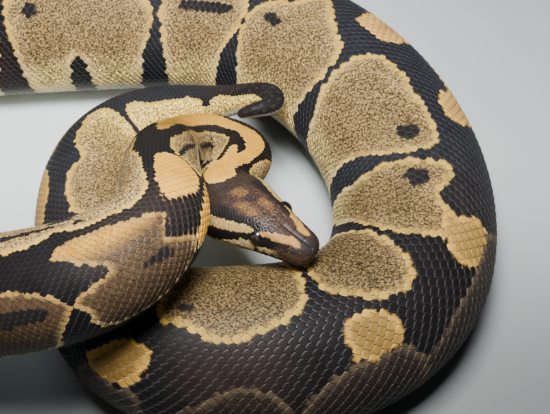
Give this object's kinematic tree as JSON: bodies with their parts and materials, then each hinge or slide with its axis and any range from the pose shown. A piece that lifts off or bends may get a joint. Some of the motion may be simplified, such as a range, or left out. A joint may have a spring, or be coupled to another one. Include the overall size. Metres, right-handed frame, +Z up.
{
  "type": "coiled ball python",
  "caption": "Life-size still model of a coiled ball python: a thick patterned body in one loose spiral, neck folded back over it, chin resting on its own flank.",
  "frame": {"origin": "middle of the coil's outline on the floor it lies on", "axes": "+Z up from the floor; the camera of the reference view looks along +Y and down, and the snout points to +X and -Y"},
  "size_m": [0.249, 0.174, 0.072],
  "materials": {
    "head_skin": "smooth dark brown head plates, satin",
    "chin_skin": "cream chin and lip scales, satin",
    "neck_skin": "overlapping scales, black with orange-tan blotches, satin",
    "forebody_skin": "overlapping scales, black with brown-tan blotches, satin",
    "trunk_skin": "overlapping scales, black with speckled tan blotches and pale rims, satin",
    "tail_skin": "small overlapping scales, dark above and tan at the sides, satin",
    "eye": "clear-covered, nearly black, glossy"
  },
  "bodies": {
    "root": {"head": "head_skin", "lower_jaw": "chin_skin", "eye_left": "eye", "eye_right": "eye", "neck_1": "neck_skin", "neck_2": "neck_skin", "neck_3": "neck_skin", "neck_4": "neck_skin", "neck_5": "neck_skin", "forebody_1": "forebody_skin", "forebody_2": "forebody_skin", "forebody_3": "forebody_skin", "forebody_4": "forebody_skin", "trunk_1": "trunk_skin", "trunk_2": "trunk_skin", "trunk_3": "trunk_skin", "trunk_4": "trunk_skin", "trunk_5": "trunk_skin", "trunk_6": "trunk_skin", "trunk_7": "trunk_skin", "trunk_8": "trunk_skin", "trunk_9": "trunk_skin", "trunk_10": "trunk_skin", "trunk_11": "trunk_skin", "tail_1": "tail_skin", "tail_2": "tail_skin", "tail_3": "tail_skin", "tail_4": "tail_skin"}
  },
  "joints": []
}
